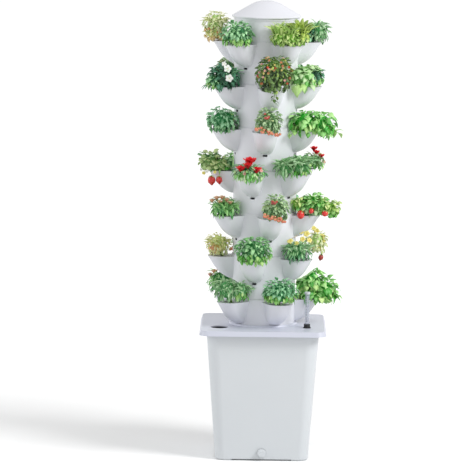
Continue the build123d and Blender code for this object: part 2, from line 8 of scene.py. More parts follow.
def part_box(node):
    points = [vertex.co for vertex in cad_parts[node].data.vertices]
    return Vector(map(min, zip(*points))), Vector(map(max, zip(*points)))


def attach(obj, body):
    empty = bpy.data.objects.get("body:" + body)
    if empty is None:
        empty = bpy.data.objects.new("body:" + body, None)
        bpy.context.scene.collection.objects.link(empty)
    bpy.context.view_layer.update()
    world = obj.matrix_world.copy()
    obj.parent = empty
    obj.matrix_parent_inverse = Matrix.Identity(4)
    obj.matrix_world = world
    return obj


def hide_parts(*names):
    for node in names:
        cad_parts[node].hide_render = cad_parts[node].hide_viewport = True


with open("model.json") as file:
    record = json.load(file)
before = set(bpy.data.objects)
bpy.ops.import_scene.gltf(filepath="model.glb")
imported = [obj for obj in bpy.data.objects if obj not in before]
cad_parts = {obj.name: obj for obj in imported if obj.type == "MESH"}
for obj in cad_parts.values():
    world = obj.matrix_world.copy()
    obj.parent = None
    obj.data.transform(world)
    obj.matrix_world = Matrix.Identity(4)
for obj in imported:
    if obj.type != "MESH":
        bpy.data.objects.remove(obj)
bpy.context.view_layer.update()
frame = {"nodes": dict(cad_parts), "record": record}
print("frame loaded")


def linear(r, g, b):
    # colours below are written as 0-255 screen values
    out = []
    for value in (r, g, b):
        value = value / 255
        out.append(value / 12.92 if value <= 0.04045 else ((value + 0.055) / 1.055) ** 2.4)
    return (*out, 1.0)


class Wire:
    def __init__(self, tree, socket):
        self.tree = tree
        self.socket = socket

    def math(self, operation, left, right=0.0):
        node = self.tree.nodes.new("ShaderNodeMath")
        node.operation = operation
        for slot, value in zip(node.inputs, (left, right)):
            if isinstance(value, Wire):
                self.tree.links.new(value.socket, slot)
            else:
                slot.default_value = value
        return Wire(self.tree, node.outputs[0])

    def __add__(self, other):
        return self.math("ADD", self, other)

    def __radd__(self, other):
        return self.math("ADD", other, self)

    def __sub__(self, other):
        return self.math("SUBTRACT", self, other)

    def __rsub__(self, other):
        return self.math("SUBTRACT", other, self)

    def __mul__(self, other):
        return self.math("MULTIPLY", self, other)

    def __rmul__(self, other):
        return self.math("MULTIPLY", other, self)

    def __abs__(self):
        return self.math("ABSOLUTE", self)


class Finish:
    def __init__(self, name):
        self.material = bpy.data.materials.new(name)
        self.material.use_nodes = True
        self.tree = self.material.node_tree
        self.shader = self.tree.nodes["Principled BSDF"]

    def node(self, kind, settings=None, inputs=None, output=0):
        made = self.tree.nodes.new(kind)
        for key, value in (settings or {}).items():
            setattr(made, key, value)
        for key, value in (inputs or {}).items():
            if isinstance(value, Wire):
                self.tree.links.new(value.socket, made.inputs[key])
            else:
                made.inputs[key].default_value = value
        return Wire(self.tree, made.outputs[output])

    def mix(self, factor, first, second):
        # colour mix: sockets 6 and 7 are the two colours
        return self.node("ShaderNodeMix", {"data_type": "RGBA"}, {0: factor, 6: first, 7: second}, 2)

    def fade(self, value, start, end, first, last, settings=None):
        return self.node("ShaderNodeMapRange", settings,
                         {"Value": value, "From Min": start, "From Max": end, "To Min": first, "To Max": last})

    def place(self):
        return self.node("ShaderNodeTexCoord", output=3)

    def leafPlace(self, axis):
        # the leaf's own UV map: 0 is along it, 1 across it
        uv = self.node("ShaderNodeTexCoord", output=2)
        return self.node("ShaderNodeSeparateXYZ", None, {"Vector": uv}, axis)

    def noise(self, scale, detail=2.0, rough=0.5):
        return self.node("ShaderNodeTexNoise", None,
                         {"Vector": self.place(), "Scale": scale, "Detail": detail, "Roughness": rough})

    def bump(self, height, strength, distance):
        return self.node("ShaderNodeBump", None, {"Height": height, "Strength": strength, "Distance": distance})

    def use(self, **values):
        for key, value in values.items():
            socket = self.shader.inputs[key.replace("_", " ")]
            if isinstance(value, Wire):
                self.tree.links.new(value.socket, socket)
            else:
                socket.default_value = value
        return self.material


def mouldedPlastic(name, colour, shade, gloss):
    # satin moulding: faint cloudiness, fine skin and slightly uneven gloss
    finish = Finish(name)
    cloud = finish.noise(9.0, 3.0)
    grain = finish.noise(900.0, 2.0)
    return finish.use(
        Base_Color=finish.mix(cloud * 0.6, linear(*colour), linear(*shade)),
        Roughness=gloss + cloud * 0.12,
        Normal=finish.bump(grain, 0.04, 0.0004),
    )


def softRubber(name, colour, rough):
    finish = Finish(name)
    speck = finish.noise(400.0, 3.0)
    return finish.use(
        Base_Color=finish.mix(speck, linear(*colour), linear(*[value + 14 for value in colour])),
        Roughness=rough + speck * 0.15,
        Normal=finish.bump(speck, 0.15, 0.0004),
    )


def plugFibre(name, colour, dark):
    finish = Finish(name)
    fibre = finish.noise(260.0, 6.0, 0.7)
    return finish.use(Base_Color=finish.mix(fibre, linear(*dark), linear(*colour)), Roughness=0.9,
                      Normal=finish.bump(fibre, 0.6, 0.001))


def clearTube(name):
    finish = Finish(name)
    haze = finish.noise(120.0, 2.0)
    return finish.use(Base_Color=linear(190, 196, 212), Roughness=0.06 + haze * 0.06, Alpha=0.2 + haze * 0.06,
                      IOR=1.45, Coat_Weight=0.6)


cadFinishes = {
    "tank_plastic": mouldedPlastic("tankPlastic", (220, 224, 227), (215, 220, 224), 0.3),
    "lid_plastic": mouldedPlastic("lidPlastic", (209, 212, 225), (204, 207, 220), 0.3),
    "tower_plastic": mouldedPlastic("towerPlastic", (230, 231, 237), (224, 225, 232), 0.32),
    "cup_plastic": mouldedPlastic("cupPlastic", (222, 222, 226), (212, 213, 218), 0.45),
    "clear_cap": mouldedPlastic("gaugeCapPlastic", (206, 209, 216), (196, 200, 208), 0.2),
    "float_plastic": mouldedPlastic("floatPlastic", (196, 198, 204), (184, 187, 194), 0.4),
    "pipe_plastic": mouldedPlastic("pipePlastic", (224, 226, 229), (216, 219, 223), 0.4),
    "pump_plastic": softRubber("pumpPlastic", (34, 35, 38), 0.45),
    "black_rubber": softRubber("blackRubber", (26, 26, 28), 0.6),
    "root_plug": plugFibre("rootPlugFibre", (132, 104, 66), (64, 46, 28)),
    "foliage": plugFibre("foliageUnder", (60, 110, 40), (30, 66, 22)),
    "clear_tube": clearTube("clearTube"),
}
slotOf = {part["node"]: part["material_slot"] for part in frame["record"]["subparts"]}
for nodeName, nodeObject in frame["nodes"].items():
    nodeObject.data.materials.clear()
    nodeObject.data.materials.append(cadFinishes[slotOf[nodeName]])
print("moulded parts finished")


def leafFinish(name, deep, bright, vein, rough=0.45, veinWidth=0.05, edge=None):
    # tone is a number kept on each leaf; the veins follow the leaf's own UV map
    finish = Finish(name)
    tone = finish.node("ShaderNodeAttribute", {"attribute_name": "tone"}, output=2)
    side = abs(finish.leafPlace(1) - 0.5)
    rib = finish.fade(side, 0.0, veinWidth, 1.0, 0.0)
    slant = finish.leafPlace(0) * 44.0 - side * 30.0
    ribs = finish.fade(slant.math("SINE", slant), 0.75, 1.0, 0.0, 0.35)
    mottle = finish.noise(70.0, 3.0)
    colour = finish.mix(tone + mottle * 0.3 - 0.15, linear(*deep), linear(*bright))
    colour = finish.mix(rib * 0.55 + ribs * 0.5, colour, linear(*vein))
    if edge:
        rim = finish.fade(side + mottle * 0.2, 0.38, 0.5, 0.0, 1.0)
        colour = finish.mix(rim, colour, linear(*edge))
    return finish.use(Base_Color=colour, Roughness=rough + mottle * 0.15,
                      Normal=finish.bump(ribs + rib, 0.35, 0.0012))


def petalFinish(name, base, tip, rough=0.5):
    finish = Finish(name)
    streak = finish.noise(300.0, 3.0)
    blend = finish.leafPlace(0) + streak * 0.3 - 0.15
    return finish.use(Base_Color=finish.mix(blend, linear(*base), linear(*tip)),
                      Roughness=rough + streak * 0.1, Normal=finish.bump(streak, 0.15, 0.0005))


def fruitFinish(name, base, blush, rough, seeds=None):
    finish = Finish(name)
    patch = finish.noise(60.0, 2.0)
    colour = finish.mix(patch, linear(*base), linear(*blush))
    if not seeds:
        return finish.use(Base_Color=colour, Roughness=rough + patch * 0.08, Coat_Weight=0.4)
    cell = finish.node("ShaderNodeTexVoronoi", None, {"Vector": finish.place(), "Scale": 420.0})
    spot = finish.fade(cell, 0.12, 0.3, 1.0, 0.0)
    return finish.use(Base_Color=finish.mix(spot, colour, linear(*seeds)), Roughness=rough,
                      Coat_Weight=0.3, Normal=finish.bump(1 - spot, 0.6, 0.0012))


leafFinishes = {
    "herb": leafFinish("herbLeaf", (22, 116, 46), (184, 240, 172), (211, 245, 204)),
    "emerald": leafFinish("emeraldLeaf", (12, 110, 50), (190, 246, 184), (215, 248, 211)),
    "fresh": leafFinish("freshLeaf", (70, 172, 46), (214, 246, 160), (229, 248, 197), 0.4),
    "mint": leafFinish("mintLeaf", (14, 124, 58), (190, 246, 196), (215, 248, 218)),
    "blueHerb": leafFinish("blueHerbLeaf", (12, 122, 62), (180, 240, 186), (209, 245, 212)),
    "lime": leafFinish("limeLeaf", (116, 176, 44), (230, 246, 166), (239, 248, 200)),
    "olive": leafFinish("oliveLeaf", (66, 114, 22), (200, 224, 104), (221, 235, 163)),
    "variegated": leafFinish("variegatedLeaf", (176, 214, 126), (246, 250, 214), (248, 248, 229),
                             0.5, 0.05, (244, 238, 186)),
    "gold": leafFinish("goldLeaf", (204, 226, 130), (246, 248, 200), (248, 248, 221),
                       0.5, 0.05, (240, 226, 140)),
    "amber": leafFinish("amberLeaf", (214, 176, 110), (246, 228, 176), (248, 238, 206)),
    "sage": leafFinish("sageLeaf", (64, 142, 70), (206, 242, 190), (224, 246, 215), 0.6),
    "greyGreen": leafFinish("greyGreenLeaf", (66, 150, 76), (212, 246, 198), (228, 248, 220), 0.6),
    "dark": leafFinish("darkLeaf", (16, 74, 48), (96, 168, 128), (158, 202, 178)),
    "spinach": leafFinish("spinachLeaf", (30, 162, 26), (196, 248, 160), (218, 248, 197), 0.35),
    "lettuce": leafFinish("lettuceLeaf", (110, 200, 84), (232, 248, 204), (240, 248, 223), 0.4),
    "blade": leafFinish("bladeLeaf", (16, 128, 44), (190, 244, 160), (215, 247, 197), 0.4, 0.03),
    "tomato": leafFinish("tomatoLeaf", (84, 132, 76), (204, 234, 180), (223, 241, 209), 0.5),
    "berry": leafFinish("berryLeaf", (112, 160, 84), (226, 242, 172), (236, 246, 204), 0.45),
    "bushDark": leafFinish("bushLeaf", (34, 60, 20), (136, 176, 96), (182, 206, 158), 0.5),
}
stemFinish = leafFinish("stemSkin", (58, 108, 40), (120, 160, 74), (130, 168, 84), 0.5)
petals = {
    "red": petalFinish("redPetal", (176, 6, 16), (238, 34, 44)),
    "white": petalFinish("whitePetal", (236, 238, 226), (252, 252, 250)),
    "peach": petalFinish("peachPetal", (226, 170, 126), (248, 216, 186)),
    "yellow": petalFinish("yellowPetal", (226, 204, 84), (250, 244, 166)),
    "orange": petalFinish("orangePetal", (186, 92, 56), (228, 152, 112)),
    "pink": petalFinish("pinkPetal", (214, 140, 130), (240, 196, 184)),
}
fruits = {
    "cherry": fruitFinish("cherryTomatoSkin", (196, 84, 58), (238, 160, 122), 0.22),
    "cherryRed": fruitFinish("redFruitSkin", (206, 16, 16), (230, 40, 26), 0.2),
    "dusk": fruitFinish("duskFruitSkin", (120, 20, 26), (196, 60, 44), 0.3),
    "strawberry": fruitFinish("strawberrySkin", (192, 8, 14), (216, 26, 24), 0.3, (226, 150, 80)),
    "pepper": fruitFinish("pepperSkin", (200, 128, 84), (234, 186, 138), 0.3),
    "heart": fruitFinish("flowerHeart", (214, 170, 40), (236, 206, 80), 0.7),
}
print("plant finishes made")


def onlySelect(*objects):
    bpy.ops.object.select_all(action="DESELECT")
    for item in objects:
        item.select_set(True)
    bpy.context.view_layer.objects.active = objects[0]


def pickVerts(mesh, test):
    # leaves edit mode to choose vertices by place, then goes back in
    bpy.ops.object.mode_set(mode="OBJECT")
    for polygon in mesh.polygons:
        polygon.select = False
    for edge in mesh.edges:
        edge.select = False
    for vertex in mesh.vertices:
        vertex.select = test(vertex.co)
    bpy.ops.object.mode_set(mode="EDIT")


leafShapes = {
    # half width at each row from stalk to tip, lift of each row, fold of the two edges
    "oval": dict(widths=(0.05, 0.2, 0.31, 0.33, 0.25, 0.13, 0.02),
                 lifts=(0, 0.05, 0.08, 0.07, 0.02, -0.07, -0.18), fold=0.09),
    "lance": dict(widths=(0.04, 0.09, 0.13, 0.15, 0.14, 0.09, 0.015),
                  lifts=(0, 0.05, 0.08, 0.08, 0.04, -0.04, -0.15), fold=0.05),
    "blade": dict(widths=(0.05, 0.065, 0.075, 0.08, 0.07, 0.05, 0.01),
                  lifts=(0, 0.02, 0.03, 0.02, -0.02, -0.09, -0.2), fold=0.04),
    "spade": dict(widths=(0.03, 0.06, 0.3, 0.37, 0.31, 0.17, 0.02),
                  lifts=(0, 0.06, 0.1, 0.1, 0.05, -0.06, -0.22), fold=0.07),
    "frill": dict(widths=(0.1, 0.22, 0.32, 0.4, 0.42, 0.34, 0.16),
                  lifts=(0, 0.06, 0.08, 0.12, 0.07, 0.08, -0.06), fold=0.12),
    "tooth": dict(widths=(0.04, 0.24, 0.3, 0.38, 0.3, 0.24, 0.03),
                  lifts=(0, 0.04, 0.07, 0.06, 0.02, -0.05, -0.14), fold=0.08),
    "round": dict(widths=(0.05, 0.3, 0.42, 0.47, 0.44, 0.32, 0.1),
                  lifts=(0, 0.05, 0.08, 0.07, 0.04, -0.02, -0.1), fold=0.08),
    "petal": dict(widths=(0.1, 0.22, 0.33, 0.38, 0.36, 0.26, 0.08),
                  lifts=(0, -0.1, -0.12, -0.08, 0.0, 0.1, 0.2), fold=0.14),
    "ray": dict(widths=(0.08, 0.13, 0.17, 0.19, 0.19, 0.16, 0.07),
                lifts=(0, 0.03, 0.05, 0.05, 0.03, 0.0, -0.06), fold=0.02),
}


def modelLeaf(name, widths, lifts, fold):
    bpy.ops.object.select_all(action="DESELECT")
    bpy.ops.mesh.primitive_grid_add(x_subdivisions=6, y_subdivisions=2, size=1.0, location=(0.5, 0, 0))
    leaf = bpy.context.object
    leaf.name = name
    bpy.ops.object.transform_apply(location=True, rotation=True, scale=True)
    bpy.ops.object.mode_set(mode="EDIT")
    for row, (width, lift) in enumerate(zip(widths, lifts)):
        place = row / (len(widths) - 1)
        pickVerts(leaf.data, lambda co: abs(co.x - place) < 0.02)
        bpy.ops.transform.resize(value=(1, 2 * width, 1), center_override=(place, 0, 0))
        bpy.ops.transform.translate(value=(0, 0, lift))
        pickVerts(leaf.data, lambda co: abs(co.x - place) < 0.02 and abs(co.y) > 0.004)
        wave = 1.0 if row % 2 else 0.55
        bpy.ops.transform.translate(value=(0, 0, fold * wave * width / max(widths)))
    bpy.ops.object.mode_set(mode="OBJECT")
    thick = leaf.modifiers.new("thickness", "SOLIDIFY")
    thick.thickness = 0.022
    thick.offset = 0
    bpy.ops.object.modifier_apply(modifier="thickness")
    bpy.ops.object.shade_smooth()
    leaf.data.attributes.new("tone", "FLOAT", "POINT")
    return leaf


def modelFruit(name, tall, point, dimple):
    # a ball drawn down to a point at one end and dimpled where its stalk joins
    bpy.ops.object.select_all(action="DESELECT")
    bpy.ops.mesh.primitive_uv_sphere_add(segments=12, ring_count=8, radius=0.5)
    fruit = bpy.context.object
    fruit.name = name
    bpy.ops.object.mode_set(mode="EDIT")
    pickVerts(fruit.data, lambda co: True)
    bpy.ops.transform.resize(value=(1, 1, tall))
    pickVerts(fruit.data, lambda co: co.z < -0.3 * tall)
    bpy.ops.transform.resize(value=(point, point, 1), center_override=(0, 0, 0))
    pickVerts(fruit.data, lambda co: co.z > 0.49 * tall)
    bpy.ops.transform.translate(value=(0, 0, -dimple))
    bpy.ops.object.mode_set(mode="OBJECT")
    bpy.ops.object.shade_smooth()
    fruit.data.attributes.new("tone", "FLOAT", "POINT")
    return fruit


def modelStalk():
    bpy.ops.object.select_all(action="DESELECT")
    bpy.ops.mesh.primitive_cylinder_add(vertices=6, radius=0.5, depth=1.0, location=(0, 0, 0.5))
    stalk = bpy.context.object
    stalk.name = "stalk"
    bpy.ops.object.transform_apply(location=True, rotation=True, scale=True)
    bpy.ops.object.mode_set(mode="EDIT")
    pickVerts(stalk.data, lambda co: co.z > 0.9)
    bpy.ops.transform.resize(value=(0.6, 0.6, 1), center_override=(0, 0, 1))
    bpy.ops.object.mode_set(mode="OBJECT")
    bpy.ops.object.shade_smooth()
    stalk.data.attributes.new("tone", "FLOAT", "POINT")
    return stalk


def modelCore():
    # lumpy inner mass that the outer leaves stand on
    bpy.ops.object.select_all(action="DESELECT")
    bpy.ops.mesh.primitive_ico_sphere_add(subdivisions=3, radius=0.5)
    core = bpy.context.object
    core.name = "leafCore"
    bpy.ops.object.mode_set(mode="EDIT")
    bpy.ops.mesh.select_all(action="SELECT")
    bpy.ops.transform.vertex_random(offset=0.035, seed=4)
    bpy.ops.object.mode_set(mode="OBJECT")
    core.data.attributes.new("tone", "FLOAT", "POINT")
    return core


models = {name: modelLeaf(name, **sizes) for name, sizes in leafShapes.items()}
models["cherry"] = modelFruit("cherry", 0.95, 0.96, 0.06)
models["strawberry"] = modelFruit("strawberry", 1.3, 0.6, 0.05)
models["pepper"] = modelFruit("pepper", 1.5, 0.7, 0.04)
models["pear"] = modelFruit("pear", 1.15, 1.05, 0.03)
models["stalk"] = modelStalk()
models["core"] = modelCore()
print("leaf, fruit and stalk models made")


crownRadius = 147.0
goldenTurn = 2.39996
stemThick = dict(root=9.0, shoot=1.8, bloom=1.2)
# a clump: size of the inner mass, highest leaf, how far leaves sink in, droop of their tips, where low leaves begin
clumpLay = dict(core=1.36, top=0.98, least=0.35, sink=0.62, droop=0.85, lowFrom=-0.12)


class Plant:
    # millimetres from the tower axis, as seen from the front: x to the right, y away, z up from the tier's top edge
    def __init__(self, seed, facing):
        self.parts = []
        self.dice = random.Random(seed)
        self.out = Vector((math.sin(facing), -math.cos(facing), 0.0))

    def at(self, right, front, up):
        return self.out * crownRadius + Vector((right, -front, up))

    def put(self, model, matrix, material, tone=None):
        copy = models[model].copy()
        copy.data = models[model].data.copy()
        copy.data.transform(matrix)
        copy.data.materials.clear()
        copy.data.materials.append(material)
        value = self.dice.random() if tone is None else tone
        copy.data.attributes["tone"].data.foreach_set("value", [value] * len(copy.data.vertices))
        bpy.context.collection.objects.link(copy)
        self.parts.append(copy)

    def leaf(self, model, base, yaw, pitch, size, material, roll=0.0, tone=None):
        turn = Matrix.Rotation(yaw, 4, "Z") @ Matrix.Rotation(-pitch, 4, "Y") @ Matrix.Rotation(roll, 4, "X")
        self.put(model, Matrix.Translation(base) @ turn @ Matrix.Scale(size, 4), material, tone)

    def stalk(self, start, end, thick):
        along = end - start
        turn = along.to_track_quat("Z", "Y").to_matrix().to_4x4()
        shape = Matrix.Diagonal((thick, thick, along.length, 1))
        self.put("stalk", Matrix.Translation(start) @ turn @ shape, stemFinish)

    def clump(self, place, radii, count, leaf, finish, size, rim=None, low=-0.8):
        # leaves laid like shingles over a dome: each points out and down, its face to the outside
        centre = self.at(*place)
        wide, deep, tall = radii
        hidden = Matrix.Diagonal((*(clumpLay["core"] * radius for radius in radii), 1))
        # the inner mass takes the finish at its deepest tone, painted shade in the gaps between the leaves
        self.put("core", Matrix.Translation(centre) @ hidden, leafFinishes[finish], -0.1)
        for index in range(count):
            height = low + (clumpLay["top"] - low) * (index + 0.5) / count
            flat = math.sqrt(1 - height * height)
            yaw = index * goldenTurn + self.dice.uniform(-0.25, 0.25)
            length = self.dice.uniform(*size)
            way = Vector((flat * math.cos(yaw) * wide, flat * math.sin(yaw) * deep, height * tall))
            sunk = clumpLay["sink"] * length * self.dice.uniform(0.2, 1.35)
            base = centre + way * max(clumpLay["least"], 1 - sunk / way.length)
            pitch = math.asin(height) - clumpLay["droop"] + self.dice.uniform(-0.45, 0.6)
            # leaves higher on the dome get a lighter tone, painted light from above, on top of a random tone
            tone = 0.4 + 0.3 * height + self.dice.uniform(-0.45, 0.5)
            worn = rim if rim and height < clumpLay["lowFrom"] else finish
            self.leaf(leaf, base, yaw + self.dice.uniform(-0.7, 0.7), pitch, length, leafFinishes[worn],
                      self.dice.uniform(-0.6, 0.6), tone)

    def spray(self, place, count, leaf, finish, size, steep, ring):
        # leaves that rise from the root like a rosette
        centre = self.at(*place)
        for index in range(count):
            yaw = index * goldenTurn
            reach = ring * math.sqrt((index + 0.5) / count)
            base = centre + Vector((reach * math.cos(yaw), reach * math.sin(yaw), self.dice.uniform(-3, 5)))
            lean = reach / ring
            pitch = steep[1] + (steep[0] - steep[1]) * lean + self.dice.uniform(-0.15, 0.15)
            self.leaf(leaf, base, yaw + self.dice.uniform(-0.4, 0.4), pitch, self.dice.uniform(*size),
                      leafFinishes[finish], self.dice.uniform(-0.5, 0.5), self.dice.uniform(0.1, 0.9))

    def shoot(self, path, leaf, finish, size):
        # trailing stem with leaves on alternate sides
        points = [self.at(*place) for place in path]
        for start, end in zip(points, points[1:]):
            self.stalk(start, end, stemThick["shoot"])
            for share in (0.0, 0.35, 0.7):
                base = start.lerp(end, share)
                yaw = math.atan2(end.y - start.y, end.x - start.x) + self.dice.uniform(-1.4, 1.4)
                self.leaf(leaf, base, yaw, self.dice.uniform(-0.9, 0.3), self.dice.uniform(*size),
                          leafFinishes[finish])

    def cup(self, place, size, colour):
        # tulip-like bloom on its stalk
        top = self.at(*place)
        self.stalk(self.at(0, 0, 4), top, stemThick["shoot"])
        for ring, (count, pitch, share) in enumerate(((4, 1.32, 0.92), (5, 1.02, 1.0))):
            for index in range(count):
                yaw = (index + 0.5 * ring) * 2 * math.pi / count
                self.leaf("petal", top, yaw, pitch, size * share, petals[colour], math.pi)

    def flower(self, top, size, colour, petal, count, tilt, lift, heart):
        # petals in a ring round a heart, looking out and up
        look = Vector((self.dice.uniform(-0.4, 0.4), -1.0, self.dice.uniform(*lift))).to_track_quat("Z", "Y")
        tip = Matrix.Translation(top) @ look.to_matrix().to_4x4()
        for index in range(count):
            turn = tip @ Matrix.Rotation(index * 2 * math.pi / count, 4, "Z") @ Matrix.Rotation(-tilt, 4, "Y")
            self.put(petal, turn @ Matrix.Scale(size * 0.55, 4), petals[colour])
        wide, tall = heart
        self.put("cherry", tip @ Matrix.Diagonal((size * wide, size * wide, size * tall, 1)), fruits["heart"])

    def daisy(self, place, size, colour):
        top = self.at(*place)
        self.stalk(self.at(0, 0, 6), top, stemThick["bloom"])
        self.flower(top, size, colour, "ray", 7, 0.2, (0.3, 0.9), (0.24, 0.16))

    def open(self, place, size, colour):
        # wide bloom of five round petals with a small heart
        top = self.at(*place)
        self.stalk(self.at(place[0] * 0.4, place[1] * 0.4, 6), top, stemThick["bloom"])
        self.flower(top, size, colour, "round", 5, 0.25, (0.2, 0.8), (0.16, 0.12))

    def fruit(self, model, skin, place, size):
        middle = self.at(*place)
        top = middle + Vector((0, 0, size * (0.62 if model == "strawberry" else 0.45)))
        self.stalk(top, top + Vector((0, 6, size * 0.7)), stemThick["bloom"])
        sway = Matrix.Rotation(self.dice.uniform(-0.25, 0.25), 4, "Y")
        self.put(model, Matrix.Translation(middle) @ sway @ Matrix.Scale(size, 4), fruits[skin])
        for index in range(6):
            self.leaf("lance", top, index * math.pi / 3, -0.25, size * 0.5, leafFinishes["berry"])

    def bunch(self, model, skin, place, size, spread, count):
        for index in range(count):
            offset = (self.dice.uniform(-spread, spread), self.dice.uniform(-4, 4),
                      self.dice.uniform(-0.5, 0.5) * spread)
            middle = [start + shift for start, shift in zip(place, offset)]
            self.fruit(model, skin, middle, size * self.dice.uniform(0.85, 1.1))



growRoom = dict(
    column=101.0, columnAbove=-8.0,                    # leaves keep this far from the axis above this height
    softStop=14.0,                                     # depth in which leaves flatten under what is above
    stem=126.0, stemRadius=7.5, stemFloor=-12.3,       # where the stem stands on its root plug
    potCentre=132.0, lip=41.0, potFloor=-5.5, hangFloor=-50.0,
    underCap=((100, 62), (108, 62), (112, 120), (400, 120)),        # radius and height of what is above
    underPots=((100, 48), (130, 60), (150, 83), (165, 104), (400, 104)),
)


def ceilingAt(radius, topTier):
    # highest a leaf may stand so that what is above can turn over it
    stops = growRoom["underCap" if topTier else "underPots"]
    for (r0, z0), (r1, z1) in zip(stops, stops[1:]):
        if radius <= r1:
            return z0 + (z1 - z0) * max(0.0, radius - r0) / (r1 - r0)
    return stops[-1][1]


def settle(co, out, topTier):
    # keeps a point off the column, over the pot's lip and under the pots above
    radius = math.hypot(co.x, co.y)
    if radius < growRoom["column"] and co.z > growRoom["columnAbove"]:
        co.x *= growRoom["column"] / radius
        co.y *= growRoom["column"] / radius
        radius = growRoom["column"]
    depth = growRoom["softStop"]
    soft = ceilingAt(radius, topTier) - depth
    if co.z > soft:
        co.z = soft + depth * (1 - math.exp(-(co.z - soft) / depth))
    along = co.x * out.x + co.y * out.y
    aside = math.hypot(co.x - along * out.x, co.y - along * out.y)
    if math.hypot(along - growRoom["stem"], aside) < growRoom["stemRadius"]:
        floorLevel = growRoom["stemFloor"]
    elif math.hypot(max(0.0, along - growRoom["potCentre"]), aside) < growRoom["lip"]:
        floorLevel = growRoom["potFloor"]
    else:
        floorLevel = growRoom["hangFloor"]
    co.z = max(co.z, floorLevel)


